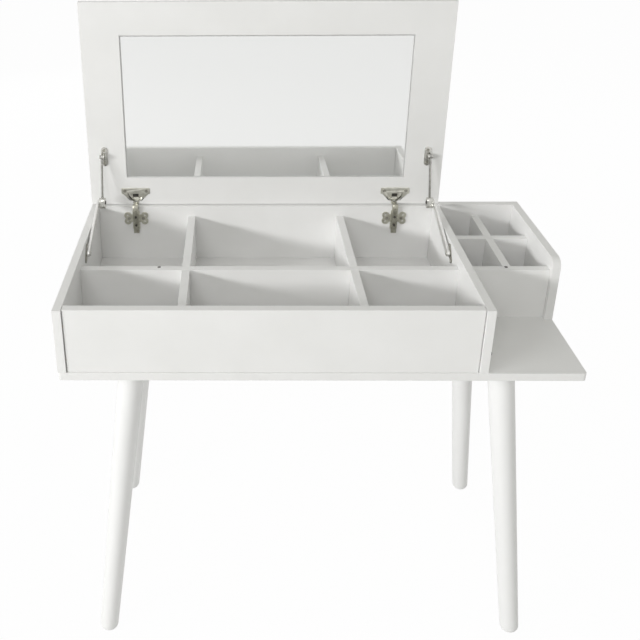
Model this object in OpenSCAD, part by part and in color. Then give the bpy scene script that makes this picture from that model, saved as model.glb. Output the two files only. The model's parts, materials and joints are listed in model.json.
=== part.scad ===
// Flip-top vanity table: a divided box under a lid that carries a mirror, an open shelf
// beside the box with a small organiser at its back, and four splayed round legs.
// Drawn with the lid open. Millimetres, +Z up, floor at z = 0, centred in x and y.

/* [Box] */
// Width of the box over its side panels
box_w = 782; // [620:1:1000]
// Depth of the box over its front and back edges
box_d = 455; // [380:1:560]
// Height of the box rim above the floor
rim_h = 800; // [680:1:860]
// Height of the side, front and back panels
box_h = 131; // [110:1:180]
// Thickness of the boards of the box
board_t = 16; // [14:0.5:22]
// How far the front panel stands behind the side panels' front edges
front_setback = 3; // [0:0.5:5]
// Gap between the front panel's ends and the side panels
front_seam = 0.9; // [0.1:0.1:0.9]

/* [Dividers] */
// Thickness of the dividers
divider_t = 16; // [10:0.5:20]
// How far the dividers' top edges lie below the rim
divider_drop = 24; // [5:1:50]
// Inside width of the compartments on the left
left_bay_w = 202; // [150:1:240]
// Inside width of the compartments on the right
right_bay_w = 198; // [150:1:240]
// Inside depth of the compartments at the rear
rear_bay_d = 233; // [220:1:280]
// Clearance of the halving joints where dividers cross
halving_gap = 0.2; // [0.1:0.1:0.5]

/* [Shelf and organiser] */
// How far the bottom board runs on to the right of the box
shelf_w = 178; // [130:1:260]
// Corner radius of the bottom board
shelf_corner_r = 6; // [2:0.5:15]
// Height of the organiser's side and back panels
organiser_h = 135; // [110:1:180]
// Depth of the organiser's side panel
organiser_d = 277; // [200:1:340]
// Radius of the side panel's upper front corner
organiser_corner_r = 20; // [5:1:40]
// How far the organiser's front panel stands behind the side panel's front edge
organiser_setback = 10; // [0:1:25]
// Height of the organiser's front panel and dividers
organiser_front_h = 108; // [80:1:108]
// Inside width of the organiser's left compartments
organiser_left_w = 73; // [45:1:90]
// Inside depth of the organiser's rear compartments
organiser_rear_d = 100; // [60:1:130]

/* [Legs] */
// Diameter of a leg at the top
leg_top_d = 52.5; // [40:0.5:65]
// Diameter of a leg at the foot
leg_foot_d = 38; // [25:1:50]
// Radius that rounds the foot's edge
leg_foot_r = 12; // [4:0.5:12]
// Leg centre at the top, in from the ends of the bottom board
leg_top_x = 127; // [90:1:180]
// Leg centre at the top, in from the front and rear of the box
leg_top_y = 95; // [50:1:130]
// Leg centre at the floor, in from the ends of the bottom board
leg_foot_x = 51; // [35:1:127]
// Leg centre at the floor, in from the front and rear of the box
leg_foot_y = 20; // [19:1:95]

/* [Lid and mirror] */
// Thickness of the lid
lid_t = 16; // [15:0.5:22]
// Gap between the lid's right edge and the organiser
lid_side_gap = 1; // [0.5:0.5:4]
// How far the closed lid stands out over the front face
lid_overhang = 2; // [0:0.5:10]
// Least gap between the lid's hinged edge and the rim as the lid turns
lid_turn_gap = 0.3; // [0.2:0.1:1]
// Lid axis, in from the rear face of the box
axis_in = 3.5; // [2:0.5:6]
// Depth of the lid axis behind the lid's inner face
axis_depth = 3; // [3:0.1:4]
// Height of the lid axis above the lid's hinged edge
axis_edge = 1.2; // [1:0.1:1.5]
// Width of the mirror
mirror_w = 614; // [450:1:640]
// Height of the mirror
mirror_h = 318; // [240:1:330]
// Thickness of the mirror
mirror_t = 4; // [3:0.5:5]
// Distance from the lid's hinged edge to the mirror
mirror_up = 66; // [60:1:80]
// Gap round the mirror in its recess
mirror_gap = 1.5; // [0.5:0.5:3]
// How far the mirror lies below the lid's inner face
mirror_sink = 0.4; // [0:0.1:1]

/* [Lid hinges] */
// Hinge centre, in from each side of the box
hinge_in = 100; // [70:1:160]
// Diameter of the cup bore in the lid
cup_d = 35; // [26:1:35]
// Depth of the cup bore
cup_deep = 11.5; // [10.5:0.5:12]
// Wood left between the cup bore and the lid's hinged edge
cup_edge = 5; // [4:0.5:7]
// Overall width of the cup's flange
flange_w = 64; // [56:1:70]
// Spacing of the flange's two screws
flange_screws = 48; // [42:1:52]
// Width of the hinge arm
arm_w = 12; // [8:0.5:12]
// Width of the hinge arm where it crosses the rim
neck_w = 5.6; // [5:0.1:6]
// How far the hinge arm hangs below the lid axis
arm_drop = 66; // [55:1:75]
// Thickness of the mounting plate
plate_t = 2.5; // [2:0.5:4]
// Width of the mounting plate over its wings
plate_w = 54; // [46:1:60]
// Height of the mounting plate's wings
plate_h = 30; // [24:1:36]

/* [Lid stays] */
// Pivot on the lid, up from the lid's hinged edge
stay_lid_up = 118; // [114:1:122]
// Pivot on the lid, out from the lid's inner face
stay_lid_out = 11; // [9:0.5:14]
// Pivot on the side panel, forward of the rear face
stay_base_in = 195; // [190:1:200]
// Pivot on the side panel, below the rim
stay_base_down = 24; // [20:0.5:30]
// Length of the lower arm between its pivots
stay_arm_l = 155.5; // [152:0.5:160]
// Length of the upper rod between its pivots
stay_rod_l = 101; // [98:0.5:106]
// Thickness of the lower arm
stay_arm_t = 5; // [3:0.5:5]
// Diameter of the upper rod
stay_rod_d = 5; // [3:0.5:5]
// Side gap between moving parts of a stay
stay_gap = 0.3; // [0.3:0.1:0.8]

/* [Fasteners] */
// Radial clearance of a pin in its bore
pin_gap = 0.05; // [0.03:0.01:0.1]
// Diameter of the wooden dowels
dowel_d = 8; // [6:0.5:8]
// Length of the wooden dowels
dowel_l = 30; // [24:1:35]
// Shank diameter of the long screws under the box
long_screw_d = 5; // [4:0.5:6]
// Length of the long screws under the box
long_screw_l = 45; // [40:1:60]
// Diameter of the hanger bolts in the legs
bolt_d = 8; // [6:1:8]

/* [Hidden] */
$fn = 48;

// Colours
white = [0.93, 0.93, 0.92];
inside_white = [0.88, 0.88, 0.86];
nickel = [0.72, 0.70, 0.65];
dark_steel = [0.25, 0.24, 0.23];
beech = [0.80, 0.66, 0.46];
glass = [0.85, 0.90, 0.92];

// Levels and overall places, from the left face, the front face and the floor
board_top = rim_h - box_h;
board_under = board_top - board_t;
total_w = box_w + shelf_w;
front_in = front_setback + board_t;
back_in = box_d - board_t;
divider_top = rim_h - divider_drop;
left_div_x = board_t + left_bay_w;
right_div_x = box_w - board_t - right_bay_w - divider_t;
cross_y = back_in - rear_bay_d - divider_t;
organiser_y = box_d - organiser_d;
organiser_front_y = organiser_y + organiser_setback;
organiser_in = total_w - board_t;
organiser_div_x = box_w + organiser_left_w;
organiser_cross_y = back_in - organiser_rear_d - divider_t;
organiser_top = board_top + organiser_front_h;

// Lid: axis, and the open lid's inner face, hinged edge and length
axis_y = box_d - axis_in;
axis_z = rim_h + lid_turn_gap + norm([axis_depth, axis_edge]);
lid_face = axis_y - axis_depth;
lid_low = axis_z - axis_edge;
lid_w = box_w - lid_side_gap;
lid_l = axis_y + axis_edge + lid_overhang;
total_d = lid_face + lid_t;

// Hinges
hinge_xs = [hinge_in, box_w - hinge_in];
cup_z = lid_low + cup_edge + cup_d / 2;
flange_t = 1;
flange_z = cup_z + 9.5;
flange_h = 15;
joggle_z = lid_low + board_t + 0.5;
knuckle_r = 2.6;
hinge_pin_r = 1.5;
ear_t = 3;
ear_gap = 0.3;
channel_w = neck_w + 2 * (ear_gap + ear_t) + 1;
channel_deep = axis_depth + knuckle_r + 1.4;
cup_wall = 1;
cup_slack = 0.2;
cup_mouth_up = 4.5;
arm_deep = 8;
plate_z = axis_z - 32;
plate_hole = plate_w - 22;
arm_front = back_in - plate_t - arm_deep;
arm_screw_r = 2.5;
arm_screw_deep = 3.5;
arm_screw_zs = [plate_z - 14, plate_z + 6];

// Stays: the plane of each piece is measured from the box's outer side face
bracket_t = 2;
boss_t = 0.7;
stay_arm_x = board_t + bracket_t + boss_t + stay_gap;
block_x = stay_arm_x + stay_arm_t + stay_gap;
block_w = 13;
rod_x = block_x + block_w / 2;
eye_w = stay_rod_d + 1;
fin_x = rod_x + eye_w / 2 + stay_gap;
fin_t = 2.5;
fin_foot_r = 4;
stay_pin_r = 2;
base_pin_r = 2.5;
rivet_head_t = 1.7;
block_low = 14;
block_up = 11;
block_half = 7.5;
rod_socket = 5;
elbow_head_r = 4;
elbow_head_t = 1.5;
stay_p = [lid_face - stay_lid_out, lid_low + stay_lid_up];
stay_q = [box_d - stay_base_in, rim_h - stay_base_down];
stay_e = elbow(stay_p, stay_q);
rod_u = (stay_p - stay_e) / norm(stay_p - stay_e);
bracket_lean = 40;
bracket_u = [-sin(bracket_lean), -cos(bracket_lean)];
bracket_hole = 13.5;
bracket_r = 7;
lid_plate_hole = 15;
lid_plate_c = [fin_x + 1, stay_p[1] - 3];

// Legs and their bolts
leg_tops = [[leg_top_x, leg_top_y], [total_w - leg_top_x, leg_top_y],
    [leg_top_x, box_d - leg_top_y], [total_w - leg_top_x, box_d - leg_top_y]];
leg_feet = [[leg_foot_x, leg_foot_y], [total_w - leg_foot_x, leg_foot_y],
    [leg_foot_x, box_d - leg_foot_y], [total_w - leg_foot_x, box_d - leg_foot_y]];
insert_deep = 12;
insert_r = bolt_d / 2 + 1.6;
bolt_in_leg = 30;
locating_r = 3;
foot_cut = 1;
seam_turn = 60;
locating_off = 15;
locating_up = 8;

// Long screws come up through the bottom board, one row for each panel
screw_head_d = 9;
screw_head_t = 3;
side_ys = [box_d * 0.14, box_d * 0.5, box_d * 0.86];
wide_xs = [box_w * 0.13, box_w * 0.5, box_w * 0.87];
left_screws = [for (y = side_ys) [board_t / 2, y]];
right_screws = [for (y = side_ys) [box_w - board_t / 2, y]];
front_screws = [for (x = wide_xs) [x, front_setback + board_t / 2]];
back_screws = [for (x = wide_xs) [x, box_d - board_t / 2]];
cross_screws = [[left_div_x / 2, cross_y + divider_t / 2],
    [box_w / 2, cross_y + divider_t / 2]];
left_div_screws = [for (y = [cross_y / 2, (cross_y + back_in) / 2 + 20])
    [left_div_x + divider_t / 2, y]];
right_div_screws = [for (s = left_div_screws) [right_div_x + divider_t / 2, s[1]]];
org_side_screws = [for (y = [organiser_y + 50, box_d - 50]) [total_w - board_t / 2, y]];
org_front_screws = [[box_w + shelf_w * 0.3, organiser_front_y + board_t / 2]];
org_back_screws = [[box_w + shelf_w * 0.3, box_d - board_t / 2]];
all_screws = concat(left_screws, right_screws, front_screws, back_screws, cross_screws,
    left_div_screws, right_div_screws, org_side_screws, org_front_screws, org_back_screws);

// Small screws of the hinges and stays
small_screw_r = 1.7;
small_head_r = 3.4;
small_head_t = 1.2;
screw_in = 11;

// Dowels lie along X in the ends of the front and back panels
dowel_in_side = min(12, board_t - 3);
dowel_shift = dowel_l / 2 - dowel_in_side;
dowel_zs = [board_top + box_h * 0.18, board_top + box_h * 0.72];
org_dowel_zs = [board_top + box_h * 0.4, board_top + box_h * 0.6];
front_dowel_y = front_setback + board_t / 2;
back_dowel_y = box_d - board_t / 2;
org_front_dowel_y = organiser_front_y + board_t / 2;

// Small dark pins at the dividers' rear top edges, and the cap beside the shelf
pin_head_r = 3.4;
pin_shank_r = 1;
pin_proud = 0.4;
pin_l = 12;
cross_pin = [left_div_x - 46, cross_y + divider_t - pin_head_r - 0.3, divider_top];
organiser_pin = [organiser_div_x + divider_t / 2 - 2, organiser_front_y + board_t - pin_head_r - 0.3,
    organiser_top];
cap_r = 4.5;
cap_proud = 3.5;
cap_z = dowel_zs[0] + dowel_d / 2 + cap_r + 5;
over = 0.5;

// Third corner of a triangle whose sides are the arm and the rod, below the line Q to P
function elbow(p, q) =
    let (d = norm(p - q), u = (p - q) / d,
        a = (stay_arm_l * stay_arm_l - stay_rod_l * stay_rod_l + d * d) / (2 * d))
    q + a * u + sqrt(stay_arm_l * stay_arm_l - a * a) * [u[1], -u[0]];

// Moves the table from its left front corner to its centre
module centred() { translate([-total_w / 2, -total_d / 2, 0]) children(); }

// Box between two corners
module block(low, high) { translate(low) cube(high - low); }

// Plane shape drawn in y and z, with a thickness along x
module along_x(x0, x1) {
    translate([x0, 0, 0]) rotate([90, 0, 90]) linear_extrude(x1 - x0) children();
}

// Plane shape drawn in x and z, with a thickness along y
module along_y(y0, y1) {
    translate([0, y1, 0]) rotate([90, 0, 0]) linear_extrude(y1 - y0) children();
}

// Round bar along x at a point in y and z
module round_x(x0, x1, p, r) {
    translate([x0, p[0], p[1]]) rotate([0, 90, 0]) cylinder(h = x1 - x0, r = r);
}

// Round bar along y at a point in x and z
module round_y(y0, y1, p, r) {
    translate([p[0], y1, p[1]]) rotate([90, 0, 0]) cylinder(h = y1 - y0, r = r);
}

// Strip between two round ends in a plane
module link2d(p, q, rp, rq) {
    u = (q - p) / norm(q - p);
    n = [-u[1], u[0]];
    translate(p) circle(rp);
    translate(q) circle(rq);
    polygon([p + rp * n, p - rp * n, q - rq * n, q + rq * n]);
}

// The same piece for the left and the right side of the box
module on_side(right) {
    if (right) translate([box_w, 0, 0]) mirror([1, 0, 0]) children();
    else children();
}

// Holes for the long screws in what stands on the bottom board
module screw_bores(places) {
    for (s = places) translate([s[0], s[1], board_under])
        cylinder(h = long_screw_l, d = long_screw_d + 2 * pin_gap);
}

// Dowel along x round its centre, made larger by grow for its bore
module dowel(x, y, z, grow) {
    round_x(x - dowel_l / 2 - grow, x + dowel_l / 2 + grow, [y, z], dowel_d / 2 + grow);
}

module left_dowels(grow) {
    for (y = [front_dowel_y, back_dowel_y], z = dowel_zs) dowel(board_t + dowel_shift, y, z, grow);
}

module right_dowels(grow) {
    for (y = [front_dowel_y, back_dowel_y], z = dowel_zs)
        dowel(box_w - board_t - dowel_shift, y, z, grow);
}

module organiser_left_dowels(grow) {
    for (y = [org_front_dowel_y, back_dowel_y], z = org_dowel_zs)
        dowel(box_w + dowel_shift, y, z, grow);
}

module organiser_right_dowels(grow) {
    for (y = [org_front_dowel_y, back_dowel_y], z = org_dowel_zs)
        dowel(organiser_in - dowel_shift, y, z, grow);
}

module bottom_board() {
    color(white) centred() difference() {
        translate([0, 0, board_under]) linear_extrude(board_t) union() {
            translate([shelf_corner_r, 0])
                square([total_w - 2 * shelf_corner_r, box_d]);
            translate([0, shelf_corner_r])
                square([total_w, box_d - 2 * shelf_corner_r]);
            for (x = [shelf_corner_r, total_w - shelf_corner_r],
                y = [shelf_corner_r, box_d - shelf_corner_r])
                translate([x, y]) circle(shelf_corner_r);
        }
        screw_bores(all_screws);
        for (s = all_screws)
            translate([s[0], s[1], board_under - over])
                cylinder(h = screw_head_t + over, d = screw_head_d + 2 * pin_gap);
        for (p = leg_tops) {
            translate([p[0], p[1], board_under - over])
                cylinder(h = insert_deep + over, r = insert_r + pin_gap);
            translate([p[0] + locating_off, p[1], board_under - over])
                cylinder(h = locating_up + over, r = locating_r + pin_gap);
        }
    }
}

module left_side_panel() {
    color(white) centred() difference() {
        block([0, 0, board_top], [board_t, box_d, rim_h]);
        screw_bores(left_screws);
        left_dowels(pin_gap);
        bracket_bores(false);
    }
}

module right_side_panel() {
    color(white) centred() difference() {
        block([box_w - board_t, 0, board_top], [box_w, box_d, rim_h]);
        screw_bores(right_screws);
        right_dowels(pin_gap);
        organiser_left_dowels(pin_gap);
        bracket_bores(true);
        round_x(box_w - board_t / 2, box_w + over, [front_dowel_y, cap_z], cap_r / 2 + pin_gap);
    }
}

module front_panel() {
    color(white) centred() difference() {
        block([board_t + front_seam, front_setback, board_top],
            [box_w - board_t - front_seam, front_in, rim_h]);
        screw_bores(front_screws);
        left_dowels(pin_gap);
        right_dowels(pin_gap);
    }
}

module back_panel() {
    color(inside_white) centred() difference() {
        block([board_t, back_in, board_top], [box_w - board_t, box_d, rim_h]);
        screw_bores(back_screws);
        left_dowels(pin_gap);
        right_dowels(pin_gap);
        for (x = hinge_xs, s = [-1, 1])
            round_y(back_in - over, back_in + screw_in, [x + s * plate_hole / 2, plate_z],
                small_screw_r + pin_gap);
    }
}

// Front-to-back divider, slotted from its top edge where the cross divider lies in it
module long_divider(x, screws) {
    mid_z = (board_top + divider_top) / 2;
    difference() {
        block([x, front_in, board_top], [x + divider_t, back_in, divider_top]);
        block([x - over, cross_y - halving_gap, mid_z],
            [x + divider_t + over, cross_y + divider_t + halving_gap, divider_top + over]);
        screw_bores(screws);
    }
}

module left_divider() { color(inside_white) centred() long_divider(left_div_x, left_div_screws); }

module right_divider() {
    color(inside_white) centred() long_divider(right_div_x, right_div_screws);
}

module cross_divider() {
    mid_z = (board_top + divider_top) / 2;
    color(inside_white) centred() difference() {
        block([board_t, cross_y, board_top], [box_w - board_t, cross_y + divider_t, divider_top]);
        for (x = [left_div_x, right_div_x])
            block([x - halving_gap, cross_y - over, board_top - over],
                [x + divider_t + halving_gap, cross_y + divider_t + over, mid_z]);
        screw_bores(cross_screws);
        dark_pin_bore(cross_pin);
    }
}

module organiser_side_panel() {
    top = board_top + organiser_h;
    r = organiser_corner_r;
    color(white) centred() difference() {
        along_x(organiser_in, total_w) union() {
            translate([organiser_y, board_top]) square([organiser_d, organiser_h - r]);
            translate([organiser_y + r, board_top]) square([organiser_d - r, organiser_h]);
            translate([organiser_y + r, top - r]) circle(r);
        }
        screw_bores(org_side_screws);
        organiser_right_dowels(pin_gap);
    }
}

module organiser_back_panel() {
    color(white) centred() difference() {
        block([box_w, back_in, board_top], [organiser_in, box_d, board_top + organiser_h]);
        screw_bores(org_back_screws);
        organiser_left_dowels(pin_gap);
        organiser_right_dowels(pin_gap);
    }
}

module organiser_front_panel() {
    color(white) centred() difference() {
        block([box_w, organiser_front_y, board_top],
            [organiser_in, organiser_front_y + board_t, organiser_top]);
        screw_bores(org_front_screws);
        organiser_left_dowels(pin_gap);
        organiser_right_dowels(pin_gap);
        dark_pin_bore(organiser_pin);
    }
}

module organiser_long_divider() {
    mid_z = (board_top + organiser_top) / 2;
    color(inside_white) centred() difference() {
        block([organiser_div_x, organiser_front_y + board_t, board_top],
            [organiser_div_x + divider_t, back_in, organiser_top]);
        block([organiser_div_x - over, organiser_cross_y - halving_gap, mid_z],
            [organiser_div_x + divider_t + over, organiser_cross_y + divider_t + halving_gap,
                organiser_top + over]);
    }
}

module organiser_cross_divider() {
    mid_z = (board_top + organiser_top) / 2;
    color(inside_white) centred() difference() {
        block([box_w, organiser_cross_y, board_top],
            [organiser_in, organiser_cross_y + divider_t, organiser_top]);
        block([organiser_div_x - halving_gap, organiser_cross_y - over, board_top - over],
            [organiser_div_x + divider_t + halving_gap, organiser_cross_y + divider_t + over, mid_z]);
    }
}

// One leg: a tapered round bar leaning from its foot to its top. The floor cuts the rounded
// foot flat, a little above the end of the rounding
module leg(i) {
    lean = concat(leg_tops[i] - leg_feet[i], [board_under]);
    length = norm(lean);
    tilt = acos(board_under / length);
    foot_r = leg_foot_d / 2;
    round_r = min(leg_foot_r, foot_r - 1);
    sink = (foot_r - round_r) * tan(tilt) + foot_cut;
    over_top = leg_top_d / 2 * tan(tilt) + 1;
    color(white) centred() difference() {
        intersection() {
            translate([leg_feet[i][0], leg_feet[i][1], 0])
                rotate([0, tilt, atan2(lean[1], lean[0])]) translate([0, 0, -sink])
                    rotate([0, 0, seam_turn]) rotate_extrude() union() {
                        polygon([[0, round_r], [foot_r, round_r],
                            [leg_top_d / 2, length + sink + over_top],
                            [0, length + sink + over_top]]);
                        square([foot_r - round_r, 2 * round_r]);
                        intersection() {
                            translate([foot_r - round_r, round_r]) circle(round_r);
                            square([foot_r, round_r]);
                        }
                    }
            block([-leg_top_d, -leg_top_d, 0],
                [total_w + leg_top_d, box_d + leg_top_d, board_under]);
        }
        translate([leg_tops[i][0], leg_tops[i][1], board_under - bolt_in_leg])
            cylinder(h = bolt_in_leg + over, r = bolt_d / 2 + pin_gap);
        translate([leg_tops[i][0] + locating_off, leg_tops[i][1], board_under - locating_up])
            cylinder(h = locating_up + over, r = locating_r + pin_gap);
    }
}

module front_left_leg() { leg(0); }

module front_right_leg() { leg(1); }

module rear_left_leg() { leg(2); }

module rear_right_leg() { leg(3); }

module leg_bolts() {
    color(nickel) centred() for (p = leg_tops)
        translate([p[0], p[1], board_under - bolt_in_leg + 1])
            cylinder(h = bolt_in_leg + insert_deep - 3, d = bolt_d);
}

module leg_inserts() {
    color(nickel) centred() for (p = leg_tops)
        translate([p[0], p[1], board_under]) difference() {
            cylinder(h = insert_deep, r = insert_r);
            translate([0, 0, -over]) cylinder(h = insert_deep + 2 * over, r = bolt_d / 2 + pin_gap);
        }
}

module leg_locating_dowels() {
    color(beech) centred() for (p = leg_tops)
        translate([p[0] + locating_off, p[1], board_under - locating_up])
            cylinder(h = 2 * locating_up, r = locating_r);
}

module box_dowels() {
    color(beech) centred() {
        left_dowels(0);
        right_dowels(0);
    }
}

module organiser_dowels() {
    color(beech) centred() {
        organiser_left_dowels(0);
        organiser_right_dowels(0);
    }
}

module base_screws() {
    color(nickel) centred() for (s = all_screws) translate([s[0], s[1], board_under]) {
        cylinder(h = screw_head_t, d = screw_head_d);
        cylinder(h = long_screw_l - 1, d = long_screw_d);
    }
}

// Bore for one of the small dark pins
module dark_pin_bore(p) {
    translate(p - [0, 0, pin_l]) cylinder(h = pin_l + over, r = pin_shank_r + pin_gap);
}

module divider_pins() {
    color(dark_steel) centred() for (p = [cross_pin, organiser_pin]) {
        translate(p) cylinder(h = pin_proud, r = pin_head_r);
        translate(p - [0, 0, pin_l - 1]) cylinder(h = pin_l - 1, r = pin_shank_r);
    }
}

// Push-in cap over the screw that holds the right side panel to the front panel
module side_screw_cap() {
    color(dark_steel) centred() {
        round_x(box_w, box_w + cap_proud, [front_dowel_y, cap_z], cap_r);
        round_x(box_w - board_t / 2 + 1, box_w, [front_dowel_y, cap_z], cap_r / 2);
    }
}

// Butterfly plate that holds the hinge arm to the back panel
module hinge_plates() {
    color(nickel) centred() for (x = hinge_xs) difference() {
        along_y(back_in - plate_t, back_in) translate([x, plate_z]) union() {
            square([plate_w - 16, plate_h - 12], center = true);
            for (s = [-1, 1], k = [-1, 1])
                translate([s * (plate_w / 2 - 8), k * (plate_h / 2 - 8)]) circle(8);
            translate([0, -4]) square([arm_w + 4, plate_h + 14], center = true);
        }
        for (s = [-1, 1])
            round_y(back_in - plate_t - over, back_in + over, [x + s * plate_hole / 2, plate_z],
                small_screw_r + pin_gap);
    }
}

module hinge_plate_screws() {
    color(nickel) centred() for (x = hinge_xs, s = [-1, 1]) {
        p = [x + s * plate_hole / 2, plate_z];
        round_y(back_in - plate_t - small_head_t, back_in - plate_t, p, small_head_r);
        round_y(back_in - plate_t, back_in + screw_in - 1, p, small_screw_r);
    }
}

// Hinge arm: a bar on the mounting plate whose neck crosses the rim to the hinge pin
module hinge_arms() {
    y0 = arm_front;
    y1 = back_in - plate_t;
    color(nickel) centred() for (x = hinge_xs) difference() {
        union() {
            along_x(x - arm_w / 2, x + arm_w / 2) polygon([
                [y0 + 2, axis_z - arm_drop], [y1, axis_z - arm_drop], [y1, axis_z - 2],
                [y1, axis_z + 3], [y0 + 3, axis_z + 4], [y0, axis_z]]);
            along_x(x - neck_w / 2, x + neck_w / 2) union() {
                translate([axis_y, axis_z]) circle(knuckle_r);
                polygon([[y0 + 1, axis_z - 2.7], [axis_y, axis_z - knuckle_r],
                    [axis_y, axis_z + 0.3], [y1 + 1, axis_z + 3], [y0 + 1, axis_z + 3]]);
            }
        }
        round_x(x - neck_w, x + neck_w, [axis_y, axis_z], hinge_pin_r + pin_gap);
        for (z = arm_screw_zs)
            round_y(y0 - over, y0 + arm_screw_deep, [x, z], arm_screw_r + pin_gap);
    }
}

// Fixing and side adjusting screws of the hinge arms
module hinge_arm_screws() {
    head_y = arm_front - 0.8;
    slot_r = arm_screw_r - 0.7;
    color(dark_steel) centred() for (x = hinge_xs, z = arm_screw_zs) difference() {
        round_y(head_y, arm_front + arm_screw_deep - 0.1, [x, z], arm_screw_r);
        block([x - slot_r, head_y - over, z - 0.4], [x + slot_r, arm_front, z + 0.4]);
    }
}

// Outline of the cup's flange: two wings above a taper towards the rim
module flange2d() {
    wing = flange_w / 2;
    z0 = flange_z - flange_h / 2;
    union() {
        for (s = [-1, 1]) translate([s * (wing - 3), flange_z + flange_h / 2 - 3]) circle(3);
        translate([-wing + 3, z0]) square([flange_w - 6, flange_h]);
        translate([-wing, z0]) square([flange_w, flange_h - 3]);
        polygon([[-wing + 4, z0], [wing - 4, z0], [13, lid_low + cup_edge + 3],
            [-13, lid_low + cup_edge + 3]]);
    }
}

// Cups let into the lid, with their flanges and the ears that turn on the hinge pins
module hinge_cups() {
    inner_r = cup_d / 2 - cup_slack - cup_wall;
    color(nickel) centred() for (x = hinge_xs) difference() {
        union() {
            round_y(lid_face, lid_face + cup_deep - cup_slack, [x, cup_z], cup_d / 2 - cup_slack);
            along_y(lid_face - flange_t, lid_face) translate([x, 0]) intersection() {
                flange2d();
                translate([-flange_w, joggle_z - 1]) square([2 * flange_w, 100]);
            }
            along_y(lid_face, lid_face + flange_t) translate([x, 0]) intersection() {
                flange2d();
                translate([-flange_w, 0]) square([2 * flange_w, joggle_z]);
            }
            for (s = [-1, 1]) translate([x + s * (neck_w / 2 + ear_gap + ear_t / 2), 0, 0])
                along_x(-ear_t / 2, ear_t / 2) union() {
                    translate([axis_y, axis_z]) circle(knuckle_r);
                    translate([axis_y - knuckle_r, axis_z])
                        square([2 * knuckle_r, lid_low + cup_edge + 2 - axis_z]);
                }
        }
        round_y(lid_face, lid_face + cup_deep - cup_slack - cup_wall, [x, cup_z], inner_r);
        intersection() {
            round_y(lid_face - 2 * flange_t, lid_face + over, [x, cup_z], inner_r);
            block([x - inner_r, lid_face - 2 * flange_t - over, lid_low],
                [x + inner_r, lid_face + 2 * over, cup_z + cup_mouth_up]);
        }
        block([x - neck_w / 2 - ear_gap, lid_face - 2, lid_low - 5],
            [x + neck_w / 2 + ear_gap, lid_face + channel_deep, cup_z]);
        round_x(x - channel_w / 2 - over, x + channel_w / 2 + over, [axis_y, axis_z],
            hinge_pin_r + pin_gap);
        for (s = [-1, 1]) round_y(lid_face - 2 * flange_t, lid_face + over,
            [x + s * flange_screws / 2, flange_z], small_screw_r + pin_gap);
    }
}

module hinge_cup_screws() {
    color(nickel) centred() for (x = hinge_xs, s = [-1, 1]) {
        round_y(lid_face - flange_t - small_head_t, lid_face - flange_t,
            [x + s * flange_screws / 2, flange_z], small_head_r);
        round_y(lid_face - flange_t, lid_face + screw_in - 1,
            [x + s * flange_screws / 2, flange_z], small_screw_r);
    }
}

module hinge_pins() {
    half = neck_w / 2 + ear_gap + ear_t;
    color(nickel) centred() for (x = hinge_xs)
        round_x(x - half, x + half, [axis_y, axis_z], hinge_pin_r);
}

module lid_panel() {
    face = lid_face - over;
    color(white) centred() difference() {
        block([0, lid_face, lid_low], [lid_w, lid_face + lid_t, lid_low + lid_l]);
        block([(lid_w - mirror_w) / 2 - mirror_gap, face, lid_low + mirror_up - mirror_gap],
            [(lid_w + mirror_w) / 2 + mirror_gap, lid_face + mirror_sink + mirror_t,
                lid_low + mirror_up + mirror_h + mirror_gap]);
        for (x = hinge_xs) {
            round_y(face, lid_face + cup_deep, [x, cup_z], cup_d / 2);
            block([x - channel_w / 2, face, lid_low - over],
                [x + channel_w / 2, lid_face + channel_deep, cup_z]);
            along_y(face, lid_face + flange_t + 0.1) translate([x, 0]) intersection() {
                flange_recess();
                translate([-flange_w, 0]) square([2 * flange_w, joggle_z + 0.2]);
            }
            for (s = [-1, 1])
                round_y(face, lid_face + screw_in, [x + s * flange_screws / 2, flange_z],
                    small_screw_r + pin_gap);
        }
        for (right = [false, true]) on_side(right) for (s = [-1, 1])
            round_y(face, lid_face + screw_in, lid_plate_c + [0, s * lid_plate_hole],
                small_screw_r + pin_gap);
    }
}

// Recess for the flange's lower part, with a little room round its sloping sides
module flange_recess() {
    z0 = flange_z - flange_h / 2;
    polygon([[-flange_w / 2 + 3.5, z0], [flange_w / 2 - 3.5, z0],
        [13.5, lid_low + cup_edge + 2.6], [-13.5, lid_low + cup_edge + 2.6]]);
}

module mirror_pane() {
    x0 = (lid_w - mirror_w) / 2;
    color(glass) centred() block([x0, lid_face + mirror_sink, lid_low + mirror_up],
        [x0 + mirror_w, lid_face + mirror_sink + mirror_t, lid_low + mirror_up + mirror_h]);
}

// Oval plate on the lid with a fin that carries the rod's pivot
module lid_bracket(right) {
    color(nickel) centred() on_side(right) difference() {
        union() {
            along_y(lid_face - bracket_t, lid_face) link2d(lid_plate_c - [0, lid_plate_hole],
                lid_plate_c + [0, lid_plate_hole], 7, 7);
            along_x(fin_x, fin_x + fin_t)
                link2d(stay_p, [lid_face - fin_foot_r, stay_p[1] - 4], 6, fin_foot_r);
            round_x(rod_x - eye_w / 2 - stay_gap, fin_x + over, stay_p, stay_pin_r);
            round_x(rod_x - eye_w / 2 - stay_gap - rivet_head_t, rod_x - eye_w / 2 - stay_gap,
                stay_p, 3.6);
        }
        for (s = [-1, 1])
            round_y(lid_face - 2 * bracket_t, lid_face + over,
                lid_plate_c + [0, s * lid_plate_hole], small_screw_r + pin_gap);
    }
}

module left_lid_bracket() { lid_bracket(false); }

module right_lid_bracket() { lid_bracket(true); }

module lid_bracket_screws() {
    color(nickel) centred() for (right = [false, true], s = [-1, 1]) on_side(right) {
        round_y(lid_face - bracket_t - small_head_t, lid_face - bracket_t,
            lid_plate_c + [0, s * lid_plate_hole], small_head_r);
        round_y(lid_face - bracket_t, lid_face + screw_in - 1,
            lid_plate_c + [0, s * lid_plate_hole], small_screw_r);
    }
}

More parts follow.
